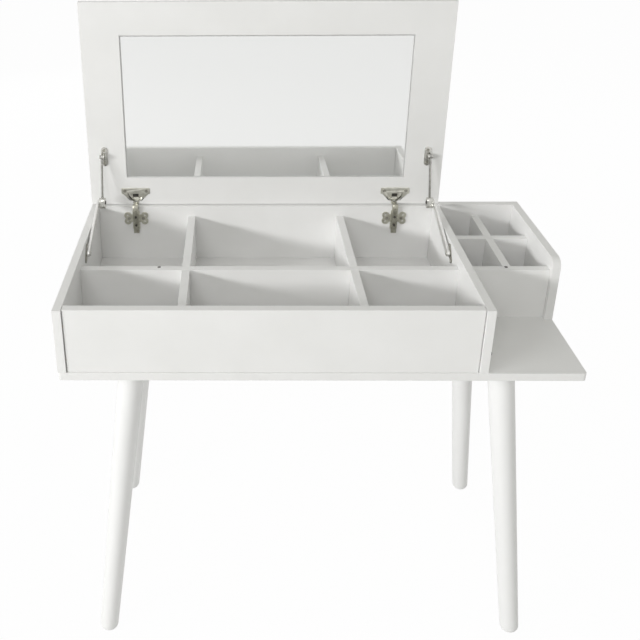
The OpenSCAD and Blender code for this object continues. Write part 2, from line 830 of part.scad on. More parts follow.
// Screw bores of a stay's lower bracket in the side panel
module bracket_bores(right) {
    on_side(right) for (s = [-1, 1])
        round_x(board_t - screw_in, board_t + over, stay_q + s * bracket_hole * bracket_u,
            small_screw_r + pin_gap);
}

// Plate on the side panel with the lower arm's pivot boss
module stay_bracket(right) {
    color(dark_steel) centred() on_side(right) difference() {
        union() {
            along_x(board_t, board_t + bracket_t) link2d(stay_q - bracket_hole * bracket_u,
                stay_q + bracket_hole * bracket_u, bracket_r, bracket_r);
            round_x(board_t, board_t + bracket_t + boss_t, stay_q, 6);
        }
        round_x(board_t - over, board_t + bracket_t + boss_t + over, stay_q, base_pin_r + pin_gap);
        for (s = [-1, 1])
            round_x(board_t - over, board_t + bracket_t + over,
                stay_q + s * bracket_hole * bracket_u, small_screw_r + pin_gap);
    }
}

module left_stay_bracket() { stay_bracket(false); }

module right_stay_bracket() { stay_bracket(true); }

module stay_bracket_screws() {
    color(nickel) centred() for (right = [false, true], s = [-1, 1]) on_side(right) {
        p = stay_q + s * bracket_hole * bracket_u;
        round_x(board_t + bracket_t, board_t + bracket_t + small_head_t * 0.7, p, small_head_r);
        round_x(board_t - screw_in + 1, board_t + bracket_t, p, small_screw_r);
    }
}

module stay_base_rivets() {
    head_x = stay_arm_x + stay_arm_t + stay_gap;
    color(nickel) centred() for (right = [false, true]) on_side(right) {
        round_x(board_t + 0.2, head_x, stay_q, base_pin_r);
        round_x(head_x, head_x + rivet_head_t, stay_q, 5);
    }
}

// Flat lower arm from the side panel's pivot to the elbow
module stay_arm(right) {
    color(nickel) centred() on_side(right) difference() {
        along_x(stay_arm_x, stay_arm_x + stay_arm_t) link2d(stay_q, stay_e, 7, 5.5);
        round_x(stay_arm_x - over, stay_arm_x + stay_arm_t + over, stay_q, base_pin_r + pin_gap);
        round_x(stay_arm_x - over, stay_arm_x + stay_arm_t + over, stay_e, stay_pin_r + 0.3);
    }
}

module left_stay_arm() { stay_arm(false); }

module right_stay_arm() { stay_arm(true); }

// Moves a piece drawn along z from the elbow so that it runs from the elbow to the lid pivot
module along_rod(from) {
    start = stay_e + from * rod_u;
    translate([rod_x, start[0], start[1]]) rotate([-atan2(rod_u[0], rod_u[1]), 0, 0]) children();
}

// Upper rod with the eye that turns on the lid bracket's pin
module stay_rod(right) {
    color(nickel) centred() on_side(right) difference() {
        union() {
            round_x(rod_x - eye_w / 2, rod_x + eye_w / 2, stay_p, 4.5);
            along_rod(rod_socket) cylinder(h = stay_rod_l - rod_socket - 3, d = stay_rod_d);
        }
        round_x(rod_x - eye_w, rod_x + eye_w, stay_p, stay_pin_r + pin_gap);
    }
}

module left_stay_rod() { stay_rod(false); }

module right_stay_rod() { stay_rod(true); }

// Joint block at the elbow, with a socket for the rod
module joint_block(right) {
    color(nickel) centred() on_side(right) difference() {
        along_x(block_x, block_x + block_w) link2d(stay_e - (block_low - block_half) * rod_u,
            stay_e + (block_up - block_half) * rod_u, block_half - 1, block_half);
        along_rod(rod_socket) cylinder(h = block_up, r = stay_rod_d / 2 + pin_gap);
        round_x(block_x - over, block_x + block_w + over, stay_e, stay_pin_r + pin_gap);
    }
}

module left_joint_block() { joint_block(false); }

module right_joint_block() { joint_block(true); }

// Slotted screw through the joint block at the elbow
module elbow_screw(right) {
    color(dark_steel) centred() on_side(right) difference() {
        union() {
            round_x(block_x, block_x + block_w, stay_e, stay_pin_r);
            round_x(block_x + block_w, block_x + block_w + elbow_head_t, stay_e, elbow_head_r);
        }
        block([block_x + block_w + elbow_head_t / 2, stay_e[0] - 3, stay_e[1] - 0.5],
            [block_x + block_w + elbow_head_t + over, stay_e[0] + 3, stay_e[1] + 0.5]);
    }
}

module elbow_screw_left() { elbow_screw(false); }

module elbow_screw_right() { elbow_screw(true); }

bottom_board();
left_side_panel();
right_side_panel();
front_panel();
back_panel();
left_divider();
right_divider();
cross_divider();
organiser_side_panel();
organiser_back_panel();
organiser_front_panel();
organiser_long_divider();
organiser_cross_divider();
front_left_leg();
front_right_leg();
rear_left_leg();
rear_right_leg();
leg_bolts();
leg_inserts();
leg_locating_dowels();
box_dowels();
organiser_dowels();
base_screws();
divider_pins();
side_screw_cap();
hinge_plates();
hinge_plate_screws();
hinge_arms();
hinge_arm_screws();
left_stay_bracket();
right_stay_bracket();
stay_bracket_screws();
stay_base_rivets();
lid_panel();
mirror_pane();
hinge_cups();
hinge_cup_screws();
hinge_pins();
left_lid_bracket();
right_lid_bracket();
lid_bracket_screws();
left_stay_arm();
right_stay_arm();
left_stay_rod();
right_stay_rod();
left_joint_block();
right_joint_block();
elbow_screw_left();
elbow_screw_right();
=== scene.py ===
"""Looks of a flip-top vanity table: painted boards, turned legs, a lid with a mirror,
concealed hinges and folding stays. Metres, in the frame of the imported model."""
import json
import math

import bpy
from mathutils import Matrix, Vector


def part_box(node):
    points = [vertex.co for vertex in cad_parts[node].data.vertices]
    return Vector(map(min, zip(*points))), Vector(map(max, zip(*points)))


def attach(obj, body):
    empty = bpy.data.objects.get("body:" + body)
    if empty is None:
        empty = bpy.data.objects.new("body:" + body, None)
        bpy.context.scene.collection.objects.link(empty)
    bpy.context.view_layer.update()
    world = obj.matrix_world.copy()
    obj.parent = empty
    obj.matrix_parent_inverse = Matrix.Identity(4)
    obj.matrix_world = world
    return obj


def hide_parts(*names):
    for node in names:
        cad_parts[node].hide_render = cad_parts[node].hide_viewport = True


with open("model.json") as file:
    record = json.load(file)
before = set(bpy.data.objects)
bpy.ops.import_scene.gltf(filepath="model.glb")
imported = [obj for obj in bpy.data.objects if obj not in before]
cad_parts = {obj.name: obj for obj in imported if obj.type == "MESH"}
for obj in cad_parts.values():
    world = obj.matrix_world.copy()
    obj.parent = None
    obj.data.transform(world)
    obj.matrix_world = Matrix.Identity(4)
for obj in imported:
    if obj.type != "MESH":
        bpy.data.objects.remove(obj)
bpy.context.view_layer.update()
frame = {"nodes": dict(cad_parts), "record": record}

MM = 0.001

# Camera, fitted to the photograph: a 640 pixel frame with its optical axis off centre
FRAME_PX = 640
FOCAL_PX = 814.86
AXIS_PX = (225.0, 175.0)
SENSOR_MM = 36
EYE = Vector((-0.15459, -1.46074, 1.56876))
EYE_DOWN, EYE_TURN, EYE_ROLL = 0.3934, -0.0143, -0.0073

# Boards: how far edges are eased, how far the front panel's ends are rounded, the rounded
# corners, and the play of the dividers' halved joints
EDGE_EASE = 0.5 * MM
END_EASE = 2.6 * MM
SHELF_CORNER_R = 6 * MM
ORGANISER_CORNER_R = 20 * MM
HALVING_GAP = 0.2 * MM

# Legs: middles of their tops and feet, in from the bottom board's corners, and their sizes
LEG_TOP_IN = Vector((127, 95)) * MM
LEG_FOOT_IN = Vector((51, 20)) * MM
LEG_TOP_D, LEG_FOOT_D, LEG_ROUND_R = 52.5 * MM, 38 * MM, 12 * MM
LEG_FOOT_CUT = 1 * MM
LEG_SIDES = 96

# Lid: recess of the mirror, bores of the hinge cups, and channels that clear the knuckles
MIRROR_GAP, MIRROR_ARRIS = 1.5 * MM, 1.6 * MM
MIRROR_RECESS = 4.4 * MM
MIRROR_LEAN = math.radians(1.5)
CUP_D, CUP_DEEP, CUP_UP = 35 * MM, 11.5 * MM, 22.5 * MM
CHANNEL_W, CHANNEL_DEEP, CHANNEL_UP = 13.2 * MM, 7 * MM, 21 * MM

# Hinges: their knuckle pins, how far the plates' middles lie below the pins, and the spare
# hole in each lobe of a plate
PIN_LENGTH, PIN_R = 12.2 * MM, 1.5 * MM
PLATE_DOWN = 32 * MM
LOBE_OUT, LOBE_UP, LOBE_HOLE_R = 19.5 * MM, 7.5 * MM, 2.2 * MM

# Link and cover in a hinge cup, and the room there for the folded arm: half a width, depths
# from the lid's face, and heights from its lower edge. The link's dark metal is painted shade
# in the cup's mouth.
LINK = (7.8 * MM, (0.9 * MM, 10.2 * MM), (13.5 * MM, 26 * MM))
COVER = (15.2 * MM, (0.2 * MM, 1.6 * MM), (16 * MM, 27.5 * MM))
COVER_CORNER_R = 7 * MM
ARM_ROOM = (6.4 * MM, (-1 * MM, 7.4 * MM), (12 * MM, 24.7 * MM))

# Cross in a screw's head: length and half width of its arms, and depth
CROSS_ARM, CROSS_HALF, CROSS_DEEP = 2.1 * MM, 0.42 * MM, 0.7 * MM
HEAD_AREA = 20 * MM * MM

# Studio: strength of the even light, its white in reflections, and the floor's
AIR_LIGHT = 0.38
REFLECTED_WHITE = 0.86
FLOOR_WHITE = 0.975
FLOOR_SIZE = 40

# Angles, in degrees, over which an edge is eased, or stays sharp in shading
BOARD_EASE_OVER, METAL_EASE_OVER = 50, 40
SHARP_OVER = 35


# ---------------------------------------------------------------- materials

def new_material(name, colour, roughness, metallic=0.0):
    """A material with one main shader, ready for its detail."""
    material = bpy.data.materials.new(name)
    material.use_nodes = True
    shader = material.node_tree.nodes["Principled BSDF"]
    shader.inputs["Base Color"].default_value = (*colour, 1)
    shader.inputs["Roughness"].default_value = roughness
    shader.inputs["Metallic"].default_value = metallic
    return material, shader


def add_node(material, kind, **settings):
    """Adds a node. A setting is one of its inputs or else one of its options."""
    node = material.node_tree.nodes.new(kind)
    for key, value in settings.items():
        if key in node.inputs:
            node.inputs[key].default_value = value
        else:
            setattr(node, key.lower(), value)
    return node


def link(material, source, target):
    material.node_tree.links.new(source, target)


def object_noise(material, stretch, scale, detail=3.0):
    """Noise on the piece's own coordinates, drawn out along its axes by stretch."""
    place = add_node(material, "ShaderNodeTexCoord")
    turn = add_node(material, "ShaderNodeMapping", Scale=stretch)
    noise = add_node(material, "ShaderNodeTexNoise", Scale=scale, Detail=detail)
    link(material, place.outputs["Object"], turn.inputs["Vector"])
    link(material, turn.outputs["Vector"], noise.inputs["Vector"])
    return noise.outputs["Fac"]


def vary_colour(material, shader, factor, dark, light):
    """Lets the colour go from dark to light over the middle of the noise's range."""
    ramp = add_node(material, "ShaderNodeValToRGB")
    ramp.color_ramp.elements[0].position = 0.3
    ramp.color_ramp.elements[0].color = (*dark, 1)
    ramp.color_ramp.elements[1].position = 0.7
    ramp.color_ramp.elements[1].color = (*light, 1)
    link(material, factor, ramp.inputs["Fac"])
    link(material, ramp.outputs["Color"], shader.inputs["Base Color"])


def vary_roughness(material, shader, factor, low, high):
    span = add_node(material, "ShaderNodeMapRange")
    span.inputs["To Min"].default_value = low
    span.inputs["To Max"].default_value = high
    link(material, factor, span.inputs["Value"])
    link(material, span.outputs["Result"], shader.inputs["Roughness"])


def add_bump(material, shader, height, strength, distance):
    bump = add_node(material, "ShaderNodeBump", Strength=strength, Distance=distance)
    link(material, height, bump.inputs["Height"])
    link(material, bump.outputs["Normal"], shader.inputs["Normal"])


def painted_wood(name, stretch, dark, light):
    """Satin white paint: a fine roller texture and faint unevenness in tone and gloss."""
    material, shader = new_material(name, light, roughness=0.52)
    shader.inputs["Specular IOR Level"].default_value = 0.3
    clouds = object_noise(material, stretch, scale=9, detail=4)
    vary_colour(material, shader, clouds, dark, light)
    vary_roughness(material, shader, object_noise(material, stretch, scale=60), 0.48, 0.6)
    add_bump(material, shader, object_noise(material, stretch, scale=900, detail=2),
             strength=0.12, distance=0.2 * MM)
    return material


def plated_metal(name, dark, light, roughness, stretch=(1, 1, 1)):
    """Plated or drawn metal: fine scratches, and cloudy changes in tone and gloss."""
    material, shader = new_material(name, light, roughness, metallic=1.0)
    vary_colour(material, shader, object_noise(material, (1, 1, 1), scale=120), dark, light)
    vary_roughness(material, shader, object_noise(material, stretch, scale=700),
                   roughness - 0.07, roughness + 0.1)
    add_bump(material, shader, object_noise(material, stretch, scale=1500),
             strength=0.1, distance=0.1 * MM)
    return material


def raw_beech(name):
    """Bare beech, with its grain along x."""
    material, shader = new_material(name, (0.62, 0.43, 0.26), roughness=0.6)
    grain = object_noise(material, (4, 60, 60), scale=6, detail=6)
    vary_colour(material, shader, grain, (0.5, 0.33, 0.18), (0.68, 0.49, 0.3))
    add_bump(material, shader, grain, strength=0.2, distance=0.3 * MM)
    return material


def silvered_glass(name, lean):
    """A mirror whose face leans back by a small angle."""
    material, shader = new_material(name, (0.89, 0.895, 0.89), roughness=0.02, metallic=0.8)
    vary_roughness(material, shader, object_noise(material, (1, 1, 1), scale=4),
                   0.015, 0.035)
    place = add_node(material, "ShaderNodeTexCoord")
    parts = add_node(material, "ShaderNodeSeparateXYZ")
    slope = add_node(material, "ShaderNodeMath", operation="MULTIPLY")
    slope.inputs[1].default_value = -math.tan(lean)
    link(material, place.outputs["Object"], parts.inputs[0])
    link(material, parts.outputs["Z"], slope.inputs[0])
    add_bump(material, shader, slope.outputs[0], strength=1.0, distance=1.0)
    return material


def dark_finish(name, colour, roughness, metallic):
    """Blackened metal or dark plastic, a little uneven in its gloss."""
    material, shader = new_material(name, colour, roughness, metallic)
    vary_roughness(material, shader, object_noise(material, (1, 1, 1), scale=300),
                   roughness - 0.06, roughness + 0.12)
    add_bump(material, shader, object_noise(material, (1, 1, 1), scale=1200),
             strength=0.15, distance=0.1 * MM)
    return material


board_paint = painted_wood("board_paint", (1, 1, 1), (0.82, 0.818, 0.811),
                           (0.85, 0.848, 0.844))
# The legs' paint is a shade lighter than the boards': painted light that lifts the legs out of
# their shade.
leg_paint_painted_light = painted_wood("leg_paint_painted_light", (1, 1, 0.25), (0.85, 0.85, 0.85), (0.87, 0.87, 0.87))
mirror_silver = silvered_glass("mirror_silver", MIRROR_LEAN)
# The hinges' one nickel plating in three tones: the cups' lighter copy is painted light, the
# arms' darker copy is painted shade.
hinge_nickel = plated_metal("hinge_nickel", (0.52, 0.51, 0.43), (0.70, 0.69, 0.61), 0.27)
cup_nickel_painted_light = plated_metal("cup_nickel_painted_light", (0.66, 0.65, 0.58), (0.84, 0.83, 0.76), 0.3)
arm_nickel_painted_shade = plated_metal("arm_nickel_painted_shade", (0.36, 0.35, 0.29), (0.52, 0.51, 0.44), 0.27)
stay_steel = plated_metal("stay_steel", (0.46, 0.46, 0.43), (0.66, 0.65, 0.61), 0.25,
                          (1, 0.1, 0.1))
# The rods' darker steel is painted dark reflection, not a plating of their own.
rod_steel_painted_reflection = plated_metal("rod_steel_painted_reflection", (0.32, 0.32, 0.30), (0.48, 0.47, 0.45), 0.2,
                         (1, 0.1, 0.1))
# The stay arms' lighter steel is painted light, not a plating of their own.
arm_steel_painted_light = plated_metal("arm_steel_painted_light", (0.74, 0.74, 0.72), (0.84, 0.83, 0.81), 0.44,
                         (1, 0.1, 0.1))
# The stay brackets' plated steel is darkened as painted shade.
bracket_steel_painted_shade = plated_metal("bracket_steel_painted_shade", (0.22, 0.215, 0.19), (0.38, 0.37, 0.33), 0.33)
screw_nickel = plated_metal("screw_nickel", (0.30, 0.29, 0.25), (0.46, 0.45, 0.40), 0.3)
zinc_plate = plated_metal("zinc_plate", (0.50, 0.51, 0.50), (0.64, 0.65, 0.64), 0.36)
dark_steel = dark_finish("dark_steel", (0.10, 0.095, 0.09), 0.38, 0.8)
black_plastic = dark_finish("black_plastic", (0.03, 0.03, 0.03), 0.5, 0.0)
dowel_beech = raw_beech("dowel_beech")

SLOT_MATERIALS = {
    "white_board": board_paint, "white_leg": leg_paint_painted_light, "mirror_glass": mirror_silver,
    "nickel_hinge": hinge_nickel, "steel_stay": stay_steel, "dark_metal": dark_steel,
    "dark_plastic": black_plastic, "beech_dowel": dowel_beech, "zinc_fastener": zinc_plate,
}
node_slot = {part["node"]: part["material_slot"] for part in frame["record"]["subparts"]}
for node, thing in frame["nodes"].items():
    thing.data.materials.clear()
    thing.data.materials.append(SLOT_MATERIALS[node_slot[node]])


# ---------------------------------------------------------------- shaping

def start_piece():
    """Back to object mode with nothing selected."""
    if bpy.context.object and bpy.context.object.mode != "OBJECT":
        bpy.ops.object.mode_set(mode="OBJECT")
    bpy.ops.object.select_all(action="DESELECT")


def pick_piece(piece):
    """Selects one piece and nothing else."""
    start_piece()
    piece.select_set(True)
    bpy.context.view_layer.objects.active = piece


def box_piece(low, high):
    """A box between two corners, with its place in its mesh."""
    start_piece()
    bpy.ops.mesh.primitive_cube_add(size=1, location=(low + high) / 2, scale=high - low)
    bpy.ops.object.transform_apply(location=True, rotation=True, scale=True)
    return bpy.context.object


def select_edges(piece, wanted):
    """Enters edit mode with the edges selected whose two ends satisfy wanted."""
    bpy.context.view_layer.objects.active = piece
    bpy.ops.object.mode_set(mode="EDIT")
    bpy.ops.mesh.select_mode(type="EDGE")
    bpy.ops.mesh.select_all(action="DESELECT")
    bpy.ops.object.mode_set(mode="OBJECT")
    for edge in piece.data.edges:
        a, b = (piece.data.vertices[i].co for i in edge.vertices)
        edge.select = bool(wanted(a, b))
    bpy.ops.object.mode_set(mode="EDIT")


def round_edges(piece, wanted, radius, segments):
    select_edges(piece, wanted)
    bpy.ops.mesh.bevel(offset=radius, offset_type="OFFSET", segments=segments, profile=0.5,
                       affect="EDGES")
    bpy.ops.object.mode_set(mode="OBJECT")


def apply_modifier(piece, kind, **settings):
    pick_piece(piece)
    modifier = piece.modifiers.new(kind.lower(), kind)
    for key, value in settings.items():
        setattr(modifier, key, value)
    bpy.ops.object.modifier_apply(modifier=modifier.name)


def take_off(piece, cutter):
    """Cuts one piece by another, which is used up."""
    apply_modifier(piece, "BOOLEAN", operation="DIFFERENCE", solver="EXACT", object=cutter)
    bpy.data.objects.remove(cutter)


def cut_away(piece, low, high):
    """Cuts a box out of a piece."""
    take_off(piece, box_piece(low, high))


def drill(piece, middle, radius, length):
    """Drills a round hole along y through a piece."""
    start_piece()
    bpy.ops.mesh.primitive_cylinder_add(vertices=64, radius=radius, depth=length,
                                        location=middle, rotation=(math.pi / 2, 0, 0))
    bpy.ops.object.transform_apply(location=True, rotation=True, scale=True)
    take_off(piece, bpy.context.object)


def ease_edges(piece, width=EDGE_EASE, over=BOARD_EASE_OVER):
    apply_modifier(piece, "BEVEL", width=width, segments=2, limit_method="ANGLE",
                   angle_limit=math.radians(over))


def smooth_over(piece):
    pick_piece(piece)
    bpy.ops.object.shade_smooth_by_angle(angle=math.radians(SHARP_OVER))


def finish_piece(piece, name, body, slot, *replaced, finish=None):
    """Names a piece, gives it its finish and its body, and hides the parts that it stands for.
    finish takes the place of its slot's own."""
    piece.name = piece.data.name = name
    piece.data.materials.clear()
    piece.data.materials.append(finish or SLOT_MATERIALS[slot])
    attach(piece, body)
    if replaced:
        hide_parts(*replaced)


# ---------------------------------------------------------------- boards

def plain_board(node, end_ease=0):
    """A plain board. end_ease rounds the upright edges of its two ends at the front."""
    low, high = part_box(node)
    piece = box_piece(low, high)
    if end_ease:
        round_edges(piece, lambda a, b: a.y < low.y + MM and b.y < low.y + MM
                    and abs(a.x - b.x) < MM, end_ease, segments=3)
    ease_edges(piece)
    finish_piece(piece, "painted_" + node, "cabinet", "white_board", node)


for node in ("left_side_panel", "right_side_panel", "back_panel", "organiser_back_panel",
             "organiser_front_panel"):
    plain_board(node)
plain_board("front_panel", END_EASE)


def crossing_boards(along_y, along_x):
    """Dividers that cross: those along y are slotted from above, the one along x from below."""
    x_low, x_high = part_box(along_x)
    x_piece = box_piece(x_low, x_high)
    middle = (x_low.z + x_high.z) / 2
    gap, over = HALVING_GAP, 5 * MM
    for node in along_y:
        low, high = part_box(node)
        piece = box_piece(low, high)
        cut_away(piece, Vector((low.x - over, x_low.y - gap, middle)),
                 Vector((high.x + over, x_high.y + gap, high.z + over)))
        cut_away(x_piece, Vector((low.x - gap, x_low.y - over, x_low.z - over)),
                 Vector((high.x + gap, x_high.y + over, middle)))
        ease_edges(piece)
        finish_piece(piece, "painted_" + node, "cabinet", "white_board", node)
    ease_edges(x_piece)
    finish_piece(x_piece, "painted_" + along_x, "cabinet", "white_board", along_x)


crossing_boards(("left_divider", "right_divider"), "cross_divider")
crossing_boards(("organiser_long_divider",), "organiser_cross_divider")

# Bottom board with its rounded corners
low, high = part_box("bottom_board")
piece = box_piece(low, high)
round_edges(piece, lambda a, b: abs(a.x - b.x) + abs(a.y - b.y) < MM, SHELF_CORNER_R,
            segments=6)
ease_edges(piece)
finish_piece(piece, "painted_bottom_board", "cabinet", "white_board", "bottom_board")

# Organiser's side panel, rounded at its upper front corner
low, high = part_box("organiser_side_panel")
piece = box_piece(low, high)
round_edges(piece, lambda a, b: a.y < low.y + MM and b.y < low.y + MM
            and a.z > high.z - MM and b.z > high.z - MM, ORGANISER_CORNER_R, segments=12)
ease_edges(piece)
finish_piece(piece, "painted_organiser_side_panel", "cabinet", "white_board",
             "organiser_side_panel")

# Lid with the mirror's recess, and with the bores and channels of the hinges
low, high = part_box("lid_panel")
glass_low, glass_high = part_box("mirror_pane")
pins_low, pins_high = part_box("hinge_pins")
hinge_xs = (pins_low.x + PIN_LENGTH / 2, pins_high.x - PIN_LENGTH / 2)
piece = box_piece(low, high)
cut_away(piece, Vector((glass_low.x - MIRROR_GAP, low.y - MM, glass_low.z - MIRROR_GAP)),
         Vector((glass_high.x + MIRROR_GAP, low.y + MIRROR_RECESS, glass_high.z + MIRROR_GAP)))
for x in hinge_xs:
    cut_away(piece, Vector((x - CHANNEL_W / 2, low.y - MM, low.z - MM)),
             Vector((x + CHANNEL_W / 2, low.y + CHANNEL_DEEP, low.z + CHANNEL_UP)))
    drill(piece, Vector((x, low.y, low.z + CUP_UP)), CUP_D / 2, 2 * CUP_DEEP)
ease_edges(piece)
finish_piece(piece, "painted_lid", "lid", "white_board", "lid_panel")

# Mirror with a ground arris round its front
piece = box_piece(glass_low, glass_high)
round_edges(piece, lambda a, b: a.y < glass_low.y + MM and b.y < glass_low.y + MM,
            MIRROR_ARRIS, segments=1)
finish_piece(piece, "silvered_mirror", "lid", "mirror_glass", "mirror_pane")


# ---------------------------------------------------------------- legs

def turned_leg(node, side, end):
    """A tapered leg with a rounded foot. side is -1 or 1 for left or right, and end is -1 or 1
    for front or rear. It is turned upright, leaned over, and cut level at floor and board."""
    board_low, board_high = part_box("bottom_board")
    middle = (board_low + board_high) / 2
    half = (board_high - board_low) / 2
    foot = Vector((middle.x + side * (half.x - LEG_FOOT_IN.x),
                   middle.y + end * (half.y - LEG_FOOT_IN.y), 0))
    top = Vector((middle.x + side * (half.x - LEG_TOP_IN.x),
                  middle.y + end * (half.y - LEG_TOP_IN.y), board_low.z))
    lean = top - foot
    tilt = lean.angle(Vector((0, 0, 1)))
    sink = (LEG_FOOT_D / 2 - LEG_ROUND_R) * math.tan(tilt) + LEG_FOOT_CUT
    over_top = LEG_TOP_D / 2 * math.tan(tilt) + MM
    length = lean.length + sink + over_top
    start_piece()
    bpy.ops.mesh.primitive_cone_add(vertices=LEG_SIDES, radius1=LEG_FOOT_D / 2,
                                    radius2=LEG_TOP_D / 2, depth=length,
                                    location=(0, 0, length / 2 - sink))
    leg = bpy.context.object
    bpy.ops.object.transform_apply(location=True, rotation=True, scale=True)
    round_edges(leg, lambda a, b: a.z < -sink + MM and b.z < -sink + MM
                and a.xy.length > MM and b.xy.length > MM, LEG_ROUND_R, segments=10)
    turn = Vector((0, 0, 1)).rotation_difference(lean).to_matrix().to_4x4()
    leg.matrix_world = Matrix.Translation(foot) @ turn
    pick_piece(leg)
    bpy.ops.object.transform_apply(location=True, rotation=True, scale=True)
    bpy.ops.object.mode_set(mode="EDIT")
    for level, above in ((0.0, False), (board_low.z, True)):
        bpy.ops.mesh.select_all(action="SELECT")
        bpy.ops.mesh.bisect(plane_co=(0, 0, level), plane_no=(0, 0, 1), use_fill=True,
                            clear_inner=not above, clear_outer=above, threshold=0.000001)
    bpy.ops.object.mode_set(mode="OBJECT")
    smooth_over(leg)
    finish_piece(leg, "turned_" + node, "cabinet", "white_leg", node)


for node, side, end in (("front_left_leg", -1, -1), ("front_right_leg", 1, -1),
                        ("rear_left_leg", -1, 1), ("rear_right_leg", 1, 1)):
    turned_leg(node, side, end)


# ---------------------------------------------------------------- hinges and stays

def merged_copy(node):
    """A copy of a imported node's mesh with its triangles joined up into whole faces."""
    mesh = frame["nodes"][node].data.copy()
    piece = bpy.data.objects.new("copy_of_" + node, mesh)
    bpy.context.scene.collection.objects.link(piece)
    pick_piece(piece)
    bpy.ops.object.mode_set(mode="EDIT")
    bpy.ops.mesh.select_all(action="SELECT")
    bpy.ops.mesh.remove_doubles(threshold=0.000002)
    bpy.ops.mesh.dissolve_limited(angle_limit=math.radians(0.5))
    bpy.ops.object.mode_set(mode="OBJECT")
    return piece


def metal_piece(node, body, slot, ease, shape=None, finish=None):
    """A metal part with eased edges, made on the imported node's own shape. shape is a
    function that adds detail to it."""
    piece = merged_copy(node)
    if shape:
        shape(piece)
    ease_edges(piece, ease, METAL_EASE_OVER)
    smooth_over(piece)
    finish_piece(piece, "eased_" + node, body, slot, node, finish=finish)


def head_middles(piece, axis, out):
    """Middles of the screw heads' outer faces, which point along out on that axis."""
    heads = {}
    for face in piece.data.polygons:
        if face.normal[axis] * out > 0.99 and face.area > HEAD_AREA:
            heads[tuple(round(v, 4) for v in face.center)] = face.center.copy()
    return list(heads.values())


def cross_recess(axis, *outs):
    """A shape that cuts a cross into each screw head whose outer face points along one of
    outs, -1 or 1, on that axis."""
    def shape(piece):
        for out in outs:
            for middle in head_middles(piece, axis, out):
                for along in [k for k in range(3) if k != axis]:
                    reach = Vector((CROSS_HALF, CROSS_HALF, CROSS_HALF))
                    reach[along] = CROSS_ARM
                    reach[axis] = CROSS_DEEP
                    cut_away(piece, middle - reach, middle + reach)
    return shape


def lobe_holes(piece):
    """Spare holes in the lobes of the butterfly plates."""
    low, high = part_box("hinge_plates")
    middle_y = (low.y + high.y) / 2
    middle_z = pins_low.z + PIN_R - PLATE_DOWN
    for x in hinge_xs:
        for side in (-1, 1):
            for level in (-1, 1):
                drill(piece, Vector((x + side * LOBE_OUT, middle_y,
                                     middle_z + level * LOBE_UP)), LOBE_HOLE_R, 12 * MM)


def lid_corners(x, half, depths, heights):
    """Two corners of a box in the lid, from half a width about x, two depths from the lid's
    face, and two heights from its lower edge."""
    face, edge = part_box("lid_panel")[0].yz
    return (Vector((x - half, face + depths[0], edge + heights[0])),
            Vector((x + half, face + depths[1], edge + heights[1])))


def shade_dark_hinge_link(name, x):
    """The link in the middle of a hinge cup: a channel that the arm folds into. Its dark
    metal is painted shade in the cup's mouth.
    """
    piece = box_piece(*lid_corners(x, *LINK))
    cut_away(piece, *lid_corners(x, *ARM_ROOM))
    ease_edges(piece, 0.4 * MM)
    smooth_over(piece)
    # The dark metal here is painted shade, not the link's own colour.
    finish_piece(piece, name, "lid", "dark_metal")


def cup_cover(name, x):
    """The stamped cover over the middle of a hinge cup's mouth, cut out for the arm."""
    low, high = lid_corners(x, *COVER)
    piece = box_piece(low, high)
    round_edges(piece, lambda a, b: a.z < low.z + MM and b.z < low.z + MM
                and abs(a.x - b.x) < 0.1 * MM, COVER_CORNER_R, segments=8)
    cut_away(piece, *lid_corners(x, *ARM_ROOM))
    ease_edges(piece, 0.4 * MM)
    smooth_over(piece)
    # Its lighter nickel is painted light.
    finish_piece(piece, name, "lid", "nickel_hinge", finish=cup_nickel_painted_light)


metal_piece("hinge_plates", "cabinet", "nickel_hinge", 0.5 * MM, lobe_holes)
metal_piece("hinge_plate_screws", "cabinet", "nickel_hinge", 0.35 * MM, cross_recess(1, -1),
            screw_nickel)
# The arms' darker nickel is painted shade.
metal_piece("hinge_arms", "cabinet", "nickel_hinge", 0.6 * MM, finish=arm_nickel_painted_shade)
metal_piece("hinge_arm_screws", "cabinet", "dark_metal", 0.15 * MM)
for side, x in zip(("left", "right"), hinge_xs):
    # Each link's dark metal is painted shade in its cup's mouth.
    shade_dark_hinge_link(side + "_shade_dark_hinge_link", x)
    cup_cover(side + "_cup_cover", x)
# The cups' lighter nickel is painted light.
metal_piece("hinge_cups", "lid", "nickel_hinge", 0.25 * MM, finish=cup_nickel_painted_light)
metal_piece("hinge_cup_screws", "lid", "nickel_hinge", 0.35 * MM, cross_recess(1, -1),
            screw_nickel)
metal_piece("hinge_pins", "lid", "nickel_hinge", 0.2 * MM)
metal_piece("stay_bracket_screws", "cabinet", "steel_stay", 0.3 * MM,
            cross_recess(0, -1, 1))
metal_piece("stay_base_rivets", "cabinet", "steel_stay", 0.7 * MM)
metal_piece("lid_bracket_screws", "lid", "steel_stay", 0.35 * MM, cross_recess(1, -1),
            screw_nickel)
metal_piece("side_screw_cap", "cabinet", "dark_plastic", 0.35 * MM)
metal_piece("divider_pins", "cabinet", "dark_metal", 0.3 * MM)
for side in ("left", "right"):
    # The brackets' darkened steel is painted shade.
    metal_piece(side + "_stay_bracket", "cabinet", "dark_metal", 0.5 * MM,
                finish=bracket_steel_painted_shade)
    metal_piece(side + "_lid_bracket", "lid", "steel_stay", 0.5 * MM)
    # The arms' lighter steel is painted light.
    metal_piece(side + "_stay_arm", side + "_arm", "steel_stay", 0.7 * MM, finish=arm_steel_painted_light)
    # The rods' darker steel is painted dark reflection.
    metal_piece(side + "_stay_rod", side + "_rod", "steel_stay", 0.3 * MM, finish=rod_steel_painted_reflection)
    metal_piece(side + "_joint_block", side + "_rod", "steel_stay", 1.0 * MM)
    metal_piece("elbow_screw_" + side, side + "_rod", "dark_metal", 0.3 * MM)


# ---------------------------------------------------------------- studio

